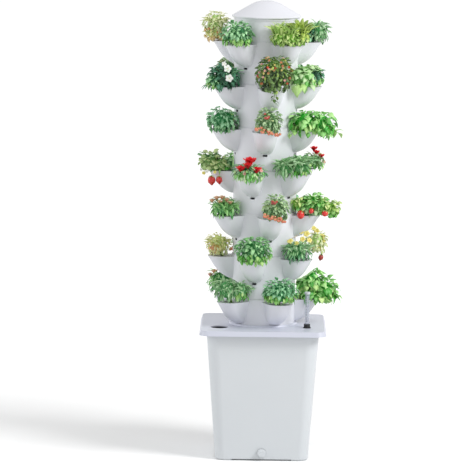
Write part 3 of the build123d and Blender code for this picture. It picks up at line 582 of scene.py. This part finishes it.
kinds = {
    # clumps: place, radii, count, leaf, finish, leaf length, finish of the low leaves, how low they start
    # sprays: place, count, leaf, finish, leaf length, slope outside and inside, spread
    # shoots: path, leaf, finish, leaf length; blooms: style, place, size, colour
    # bunches: model, skin, place, size, spread, count; drops: place, yaw, pitch, size, leaf, finish
    # scatter: style, colour, count, size
    "variegated": dict(
        clumps=[((-18, 2, 40), (36, 32, 42), 190, "oval", "variegated", (10, 16), None),
                ((-20, 10, 12), (32, 28, 22), 80, "oval", "gold", (10, 15), "amber")],
        sprays=[((-18, 0, 46), 46, "lance", "variegated", (20, 30), (0.3, 1.3), 28)],
        bunches=[("pepper", "pepper", (-34, 24, 24), 6, 16, 6), ("pepper", "pepper", (-6, 30, 10), 6, 18, 4)]),
    "emerald": dict(clumps=[((6, 6, 22), (46, 42, 42), 240, "oval", "emerald", (12, 18), "fresh", -0.7)]),
    "lime": dict(
        clumps=[((-38, 8, 18), (26, 26, 26), 90, "oval", "lime", (10, 15), "lime"),
                ((-4, 10, 20), (34, 30, 30), 130, "oval", "lime", (10, 16), "lime"),
                ((22, 4, 24), (28, 28, 32), 110, "oval", "olive", (11, 17), "lime")],
        sprays=[((-38, 6, 24), 28, "lance", "lime", (28, 42), (0.9, 1.45), 20),
                ((-6, 6, 24), 36, "lance", "lime", (30, 44), (0.8, 1.45), 24),
                ((24, 2, 30), 36, "lance", "olive", (32, 46), (0.8, 1.45), 22)]),
    "greyTuft": dict(
        clumps=[((-18, 18, 12), (24, 22, 26), 70, "oval", "dark", (12, 17), "mint"),
                ((12, 4, 24), (32, 30, 34), 130, "lance", "greyGreen", (16, 24), "sage")],
        sprays=[((12, 2, 30), 34, "lance", "greyGreen", (20, 30), (0.4, 1.4), 24)]),
    "white": dict(
        clumps=[((6, 6, 20), (44, 40, 42), 200, "oval", "dark", (15, 22), "dark"),
                ((-24, 22, 10), (24, 20, 24), 70, "oval", "emerald", (11, 17), "fresh")],
        sprays=[((22, 6, 30), 30, "blade", "blueHerb", (26, 40), (0.3, 1.3), 24),
                ((-36, 14, 0), 10, "blade", "dark", (20, 28), (-0.7, 0.2), 10)],
        blooms=[("open", (16, 42, 50), 23, "white"), ("open", (22, 48, 22), 23, "white"),
                ("open", (6, 40, 64), 14, "white")]),
    "bush": dict(
        clumps=[((4, 20, 38), (54, 44, 60), 360, "tooth", "bushDark", (10, 16), "bushDark"),
                ((6, 22, 48), (48, 38, 48), 130, "lance", "olive", (12, 19), None)],
        shoots=[([(2, 46, 0), (6, 50, -16), (4, 49, -32), (8, 47, -47)], "tooth", "bushDark", (12, 18)),
                ([(10, 46, -2), (12, 50, -14), (10, 48, -28)], "tooth", "olive", (9, 14))],
        scatter=[("daisy", "orange", 9, 8.5), ("daisy", "pink", 9, 8.5), ("daisy", "yellow", 7, 7),
                 ("daisy", "red", 7, 8)]),
    "lettuce": dict(
        clumps=[((-30, 14, 26), (42, 34, 42), 110, "spade", "lettuce", (22, 32), "lettuce"),
                ((6, 12, 24), (24, 26, 34), 60, "oval", "dark", (14, 20), "fresh")],
        sprays=[((-28, 8, 26), 26, "frill", "lettuce", (30, 42), (0.3, 1.2), 24)],
        drops=[((-48, 44, 6), -1.75, -1.0, 44, "spade", "fresh"),
               ((-56, 40, 4), -2.1, -0.8, 30, "oval", "lettuce"),
               ((-36, 46, 4), -1.2, -0.8, 30, "oval", "fresh"),
               ((-10, 44, 2), -1.0, -0.6, 26, "oval", "lettuce")]),
    "mint": dict(clumps=[((12, 8, 18), (48, 42, 44), 260, "oval", "mint", (11, 17), "emerald")]),
    "tomato": dict(
        clumps=[((10, 8, 26), (38, 36, 42), 230, "tooth", "tomato", (10, 15), None)],
        sprays=[((10, 4, 30), 26, "oval", "berry", (12, 18), (0.1, 1.3), 30)],
        bunches=[("cherry", "cherry", (-20, 36, 8), 9, 9, 6), ("cherry", "cherry", (-2, 44, 2), 9, 10, 7),
                 ("cherry", "cherry", (18, 46, -2), 9, 10, 7), ("cherry", "cherry", (38, 40, -8), 9, 9, 6),
                 ("cherry", "dusk", (6, 46, 48), 9, 12, 6)]),
    "spinach": dict(
        clumps=[((-20, 16, 18), (46, 36, 38), 120, "spade", "spinach", (19, 29), "fresh"),
                ((26, 8, 14), (44, 34, 38), 110, "spade", "spinach", (19, 29), "fresh")],
        shoots=[([(30, 20, 10), (52, 16, 8), (69, 12, -6), (81, 10, -16)], "spade", "fresh", (18, 25)),
                ([(20, 30, 0), (34, 44, -10), (48, 46, -24)], "spade", "spinach", (18, 26)),
                ([(-30, 30, 4), (-52, 46, -8), (-62, 52, -18)], "spade", "fresh", (16, 24))]),
    "strawberry": dict(
        clumps=[((-20, 10, 20), (30, 28, 30), 80, "round", "berry", (13, 19), None),
                ((12, 14, 8), (34, 30, 28), 90, "round", "berry", (13, 18), "fresh"),
                ((44, 12, 18), (22, 22, 28), 56, "round", "sage", (13, 18), None)],
        sprays=[((-24, 8, 32), 14, "round", "sage", (15, 20), (0.2, 1.1), 24)],
        blooms=[("open", (-38, 40, -14), 12, "yellow"), ("open", (-28, 46, -8), 12, "white"),
                ("open", (-4, 48, -10), 11, "yellow"), ("open", (-46, 36, -4), 10, "white")],
        bunches=[("strawberry", "strawberry", (-14, 54, -35), 22, 0, 1),
                 ("strawberry", "strawberry", (9, 54, -33), 22, 0, 1)]),
    "redCups": dict(
        clumps=[((8, 10, 4), (48, 38, 26), 150, "lance", "emerald", (15, 22), "lettuce"),
                ((8, 14, -2), (46, 36, 22), 70, "oval", "lettuce", (12, 17), "lettuce")],
        blooms=[("cup", (10, 26, 26), 30, "red"), ("cup", (4, 36, 18), 22, "red"),
                ("cup", (-17, 36, 8), 22, "red"), ("cup", (31, 36, 4), 23, "red"),
                ("open", (-6, 44, 4), 12, "pink"), ("open", (44, 38, 12), 11, "pink")]),
    "sage": dict(
        clumps=[((-50, 18, 14), (28, 26, 28), 70, "lance", "sage", (18, 26), None),
                ((-6, 12, 16), (34, 30, 32), 90, "lance", "sage", (18, 26), "fresh")],
        sprays=[((-50, 18, 20), 36, "oval", "sage", (22, 30), (0.4, 1.4), 26),
                ((-4, 14, 26), 44, "oval", "greyGreen", (24, 34), (0.4, 1.4), 30)]),
    "redSide": dict(
        clumps=[((24, 4, 16), (34, 30, 26), 90, "oval", "tomato", (12, 18), "fresh")],
        blooms=[("cup", (24, 4, 46), 18, "red"), ("cup", (32, 8, 36), 16, "red"),
                ("cup", (46, 2, 24), 17, "red"), ("open", (54, 4, 14), 12, "pink")]),
    "tulip": dict(
        clumps=[((10, 8, 14), (40, 36, 30), 120, "lance", "blade", (18, 26), "blade")],
        sprays=[((12, 12, 8), 80, "blade", "blade", (30, 42), (0.7, 1.4), 22)],
        blooms=[("cup", (-28, 18, 34), 14, "peach"), ("cup", (-14, 20, 42), 15, "peach"),
                ("cup", (2, 24, 44), 15, "peach"), ("cup", (16, 28, 38), 14, "peach"),
                ("cup", (-4, 32, 32), 13, "peach"), ("cup", (26, 32, 30), 13, "peach")]),
    "limeFruit": dict(
        clumps=[((-46, 20, 30), (28, 24, 28), 80, "oval", "lime", (13, 19), "lettuce"),
                ((-4, 14, 24), (38, 32, 38), 140, "tooth", "spinach", (14, 21), "tomato"),
                ((48, 12, 16), (36, 26, 26), 90, "round", "lime", (12, 17), "fresh"),
                ((30, 18, 22), (30, 24, 24), 40, "oval", "fresh", (13, 19), "fresh")],
        sprays=[((0, 8, 30), 30, "spade", "fresh", (20, 28), (0.2, 1.3), 32)],
        bunches=[("pear", "cherryRed", (-36, 50, -2), 22, 0, 1), ("pear", "cherryRed", (-4, 50, 10), 15, 0, 1),
                 ("cherry", "cherryRed", (37, 46, 2), 20, 0, 1)]),
    "gold": dict(
        clumps=[((10, 8, 28), (36, 32, 38), 200, "lance", "gold", (12, 18), "variegated"),
                ((0, 22, 16), (20, 18, 24), 40, "lance", "amber", (11, 16), "gold")],
        sprays=[((10, 4, 28), 40, "lance", "variegated", (20, 30), (0.4, 1.35), 30)],
        bunches=[("pepper", "pepper", (-6, 38, 18), 6, 12, 5)]),
    "mound": dict(clumps=[((11, 8, 24), (52, 42, 48), 290, "oval", "herb", (12, 18), "fresh", -0.74)]),
    "sprout": dict(clumps=[((0, 6, 6), (40, 36, 22), 120, "oval", "herb", (11, 16), "fresh", -0.5)]),
    "sproutFresh": dict(clumps=[((0, 6, 6), (40, 36, 22), 110, "spade", "fresh", (13, 19), "lettuce", -0.5)]),
    "yellow": dict(
        clumps=[((-20, 10, 18), (40, 34, 34), 190, "lance", "herb", (13, 20), "mint")],
        sprays=[((-20, 8, 22), 46, "lance", "greyGreen", (22, 34), (0.5, 1.4), 34)],
        blooms=[("open", (-42, 26, 54), 19, "yellow"), ("open", (-28, 16, 72), 19, "peach"),
                ("open", (8, 18, 74), 20, "yellow"), ("open", (-4, 24, 58), 18, "yellow"),
                ("open", (-50, 20, 66), 15, "white"), ("open", (16, 16, 54), 17, "yellow"),
                ("open", (-22, 28, 46), 15, "yellow"), ("open", (-8, 14, 80), 15, "yellow")]),
    "yellowPale": dict(
        clumps=[((42, 2, 26), (34, 28, 38), 130, "oval", "variegated", (11, 17), "variegated")],
        blooms=[("open", (44, 10, 58), 19, "yellow"), ("open", (60, 4, 42), 19, "yellow"),
                ("open", (50, 12, 24), 17, "white"), ("open", (66, 2, 16), 16, "white"),
                ("open", (34, 12, 68), 17, "yellow"), ("open", (52, 14, 6), 15, "yellow"),
                ("open", (66, 6, 30), 14, "yellow")],
        shoots=[([(50, 6, 12), (56, 10, -4), (57, 10, -10)], "oval", "variegated", (10, 14))],
        bunches=[("strawberry", "dusk", (57, 10, -22), 15, 0, 1)]),
    "blueHerb": dict(clumps=[((-5, 8, 30), (50, 42, 42), 280, "oval", "blueHerb", (12, 18), "fresh", -0.6)]),
    "tallSpinach": dict(
        clumps=[((-8, 14, 50), (42, 34, 44), 130, "spade", "spinach", (19, 29), "fresh"),
                ((-4, 18, 6), (40, 32, 26), 60, "spade", "spinach", (18, 26), "fresh"),
                ((36, 8, 20), (42, 32, 38), 100, "spade", "spinach", (19, 29), "fresh")],
        shoots=[([(30, 16, 20), (52, 14, 18), (68, 12, 6), (79, 10, -6)], "spade", "fresh", (18, 25)),
                ([(-20, 26, 40), (-44, 40, 42), (-58, 46, 40)], "lance", "spinach", (24, 34)),
                ([(14, 30, 10), (28, 44, 0), (40, 46, -10)], "spade", "fresh", (18, 26))]),
    "tulipDark": dict(
        clumps=[((-6, 4, 36), (38, 30, 36), 140, "lance", "blade", (17, 25), "blade")],
        blooms=[("cup", (-26, 8, 56), 16, "peach"), ("cup", (-10, 8, 64), 16, "peach"),
                ("cup", (8, 8, 58), 15, "peach"), ("cup", (-38, 8, 46), 14, "pink")]),
    "looseSage": dict(
        clumps=[((4, 14, 32), (38, 36, 38), 120, "lance", "greyGreen", (16, 24), "sage", -0.65),
                ((40, 12, 32), (34, 30, 36), 100, "lance", "greyGreen", (15, 23), "fresh", -0.65)],
        sprays=[((4, 12, 30), 40, "lance", "greyGreen", (24, 36), (0.2, 1.35), 36),
                ((42, 10, 30), 34, "lance", "sage", (22, 34), (0.2, 1.35), 30)]),
}

# turn of each tier's first pot from the front, then what stands in its five pots
planting = {
    1: (32.0, ("lime", "greyTuft", "mint", "variegated", "emerald")),
    2: (8.0, ("bush", "lettuce", "mound", "tomato", "white")),
    3: (0.0, ("tomato", "spinach", "sprout", "sproutFresh", "mint")),
    4: (-22.0, ("redCups", "sage", "redSide", "spinach", "strawberry")),
    5: (10.0, ("tomato", "limeFruit", "mint", "sprout", "tulip")),
    6: (-17.0, ("mound", "yellow", "yellowPale", "tomato", "gold")),
    7: (22.0, ("blueHerb", "tallSpinach", "strawberry", "tulipDark", "looseSage")),
}
tierTop = {number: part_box(f"tier_{number}")[1][2] for number in planting}
gaugeLow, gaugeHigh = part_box("gauge_tube")
gaugeAxis = ((gaugeLow[0] + gaugeHigh[0]) / 2, (gaugeLow[1] + gaugeHigh[1]) / 2)
potRing = dict(step=72, backFrom=130)       # degrees between pots; pots past backFrom are grown as if at the front
gaugeRoom = dict(radius=0.013, above=0.008)


def grow(plant, clumps=(), sprays=(), blooms=(), bunches=(), shoots=(), drops=(), scatter=()):
    root = plant.out * growRoom["stem"]
    plant.stalk(root + Vector((0, 0, growRoom["stemFloor"])), root + plant.out * 6 + Vector((0, 0, 14)),
                stemThick["root"])
    for row in clumps:
        plant.clump(*row)
    for row in sprays:
        plant.spray(*row)
    for style, place, size, colour in blooms:
        getattr(plant, style)(place, size, colour)
    for row in bunches:
        plant.bunch(*row)
    for row in shoots:
        plant.shoot(*row)
    for place, yaw, pitch, size, leaf, finish in drops:
        plant.leaf(leaf, plant.at(*place), yaw, pitch, size, leafFinishes[finish], 0.0, 0.7)
    for style, colour, count, size in scatter:
        # over the first clump's face
        place, radii = clumps[0][:2]
        for index in range(count):
            yaw = plant.dice.uniform(-1.3, 1.3)
            lift = plant.dice.uniform(-0.45, 0.95)
            flat = math.sqrt(1 - lift * lift)
            way = (flat * math.sin(yaw), flat * math.cos(yaw), lift)
            spot = [middle + radius * share for middle, radius, share in zip(place, radii, way)]
            getattr(plant, style)(spot, size, colour)


def plantPot(number, pot, turn, kind):
    angle = (turn + pot * potRing["step"] + 180) % 360 - 180
    facing = math.radians(angle if abs(angle) < potRing["backFrom"] else 0.0)
    plant = Plant(number * 10 + pot, facing)
    grow(plant, **kinds[kind])
    onlySelect(*plant.parts)
    bpy.ops.object.join()
    piece = bpy.context.object
    piece.name = f"plant_{number}_{pot + 1}_{kind}"
    for vertex in piece.data.vertices:
        settle(vertex.co, plant.out, number == 1)
    turned = Matrix.Rotation(math.radians(angle) - facing, 4, "Z")
    piece.data.transform(Matrix.Translation((0, 0, tierTop[number])) @ turned @ Matrix.Scale(0.001, 4))
    if number == 7:
        # leaves part round the gauge
        for vertex in piece.data.vertices:
            away = Vector((vertex.co.x - gaugeAxis[0], vertex.co.y - gaugeAxis[1]))
            if away.length < gaugeRoom["radius"] and vertex.co.z < gaugeHigh[2] + gaugeRoom["above"]:
                away = away.normalized() * gaugeRoom["radius"]
                vertex.co.x, vertex.co.y = gaugeAxis[0] + away.x, gaugeAxis[1] + away.y
    piece.data.update()
    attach(piece, "lid" if number == 7 else f"turning_tier_{number}")
    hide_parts(f"plants_{number}")


for number, (turn, names) in planting.items():
    for pot, kind in enumerate(names):
        plantPot(number, pot, turn, kind)
    print("tier", number, "planted")
for model in models.values():
    bpy.data.objects.remove(model)

# level scale inside the back of the clear tube
scaleStrip = dict(width=0.0044, thick=0.0004, back=0.00545, bevel=0.0002, fromFoot=0.014, fromTop=0.008)
scaleTicks = dict(count=18, long=0.56, short=0.35, aside=0.2, front=0.0003, thick=0.0003, height=0.0016,
                  bevel=0.00006)


def bevelledBar(at, size, bevel, material):
    bpy.ops.object.select_all(action="DESELECT")
    bpy.ops.mesh.primitive_cube_add(size=1.0, location=at)
    bar = bpy.context.object
    bpy.ops.transform.resize(value=size)
    bpy.ops.object.transform_apply(location=True, rotation=True, scale=True)
    bpy.ops.object.mode_set(mode="EDIT")
    bpy.ops.mesh.select_all(action="SELECT")
    bpy.ops.mesh.bevel(offset=bevel, segments=1)
    bpy.ops.object.mode_set(mode="OBJECT")
    bar.data.materials.append(material)
    return bar


def modelScale():
    low, high = gaugeLow[2] + scaleStrip["fromFoot"], gaugeHigh[2] - scaleStrip["fromTop"]
    back = gaugeAxis[1] + scaleStrip["back"]
    wide = scaleStrip["width"]
    strip = bevelledBar((gaugeAxis[0], back, (low + high) / 2), (wide, scaleStrip["thick"], high - low),
                        scaleStrip["bevel"], mouldedPlastic("scaleStrip", (226, 228, 234), (218, 221, 228), 0.4))
    strip.name = "gauge_scale"
    ticks = []
    for index in range(scaleTicks["count"]):
        reach = wide * scaleTicks["short" if index % 5 else "long"]
        height = low + (high - low) * (index + 0.5) / scaleTicks["count"]
        ticks.append(bevelledBar((gaugeAxis[0] - wide * scaleTicks["aside"], back - scaleTicks["front"], height),
                                 (reach, scaleTicks["thick"], scaleTicks["height"]),
                                 scaleTicks["bevel"], cadFinishes["black_rubber"]))
    onlySelect(strip, *ticks)
    bpy.ops.object.join()
    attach(strip, "lid")


modelScale()
print("gauge scale made")

# floor, light and camera
studio = dict(floorSize=60.0, floorDrop=0.0005, floorShade=0.8, nearLift=0.3, farLift=1.1, nearFrom=0.3, farFrom=5.0,
              skyLight=0.55, skySeen=0.45)


def seenDirectly(tree):
    # 1 for what the camera, a reflection or clear plastic looks at
    path = tree.nodes.new("ShaderNodeLightPath")
    rays = Wire(tree, path.outputs["Is Camera Ray"]) + Wire(tree, path.outputs["Is Glossy Ray"])
    rays = rays + Wire(tree, path.outputs["Is Transmission Ray"])
    return rays.math("MINIMUM", rays, 1.0)


# paler to the eye than to the light it throws back, so that it reads as white and keeps its shadow
floorFinish = Finish("studioFloor")
away = floorFinish.node("ShaderNodeVectorMath", {"operation": "LENGTH"}, {0: floorFinish.place()}, 1)
lift = floorFinish.fade(away, studio["nearFrom"], studio["farFrom"], studio["nearLift"], studio["farLift"],
                        {"interpolation_type": "SMOOTHSTEP"})
paleness = seenDirectly(floorFinish.tree) * lift + studio["floorShade"]
floorColour = floorFinish.node("ShaderNodeCombineColor", None, {channel: paleness for channel in range(3)})
matte = floorFinish.node("ShaderNodeBsdfDiffuse", None, {"Color": floorColour})
floorFinish.tree.links.new(matte.socket, floorFinish.tree.nodes["Material Output"].inputs["Surface"])
floorFinish.tree.nodes.remove(floorFinish.shader)
bpy.ops.object.select_all(action="DESELECT")
bpy.ops.mesh.primitive_plane_add(size=studio["floorSize"], location=(0, 0, -studio["floorDrop"]))
floor = bpy.context.object
floor.name = "studio_floor"
floor.data.materials.append(floorFinish.material)

world = bpy.data.worlds.new("studio")
bpy.context.scene.world = world
world.use_nodes = True
skyTree = world.node_tree
sky = skyTree.nodes["Background"]
sky.inputs["Color"].default_value = (1.0, 1.0, 1.0, 1)
brightness = seenDirectly(skyTree) * studio["skySeen"] + studio["skyLight"]
skyTree.links.new(brightness.socket, sky.inputs["Strength"])


lampTarget = (0, 0, 0.7)
lamps = {
    "keyLight": dict(at=(3.4, -2.2, 3.6), size=1.8, power=150.0, colour=(1.0, 1.0, 1.0)),
    "fillLight": dict(at=(-1.5, -4.5, 2.4), size=3.0, power=14.0, colour=(0.97, 0.98, 1.0)),
    "sideLight": dict(at=(-4.0, -0.2, 1.9), size=2.0, power=42.0, colour=(0.98, 0.99, 1.0)),
}


def softLight(name, at, size, power, colour):
    bpy.ops.object.light_add(type="AREA", location=at)
    lamp = bpy.context.object
    lamp.name = name
    lamp.data.size = size
    lamp.data.energy = power
    lamp.data.color = colour
    lamp.rotation_euler = (Vector(lampTarget) - Vector(at)).to_track_quat("-Z", "Y").to_euler()


for lampName, values in lamps.items():
    softLight(lampName, **values)

photoView = dict(away=12.0, height=2.24, pixels=3985.0, down=7.46, axisPixel=264.3, lean=0.65,
                 frame=470.0, sensor=36.0)
cameraData = bpy.data.cameras.new("photoCamera")
cameraData.sensor_width = photoView["sensor"]
cameraData.lens = photoView["sensor"] * photoView["pixels"] / photoView["frame"]
cameraData.clip_end = 200.0
camera = bpy.data.objects.new("photoCamera", cameraData)
bpy.context.collection.objects.link(camera)
camera.location = (0.0, -photoView["away"], photoView["height"])
aside = math.atan((photoView["axisPixel"] - photoView["frame"] / 2) / photoView["pixels"])
aim = Matrix.Rotation(aside, 4, "Z") @ Matrix.Rotation(math.radians(90.0 - photoView["down"]), 4, "X")
camera.rotation_euler = (aim @ Matrix.Rotation(math.radians(photoView["lean"]), 4, "Z")).to_euler()
bpy.context.scene.camera = camera
bpy.context.scene.view_settings.view_transform = "Standard"

print("scene ready")
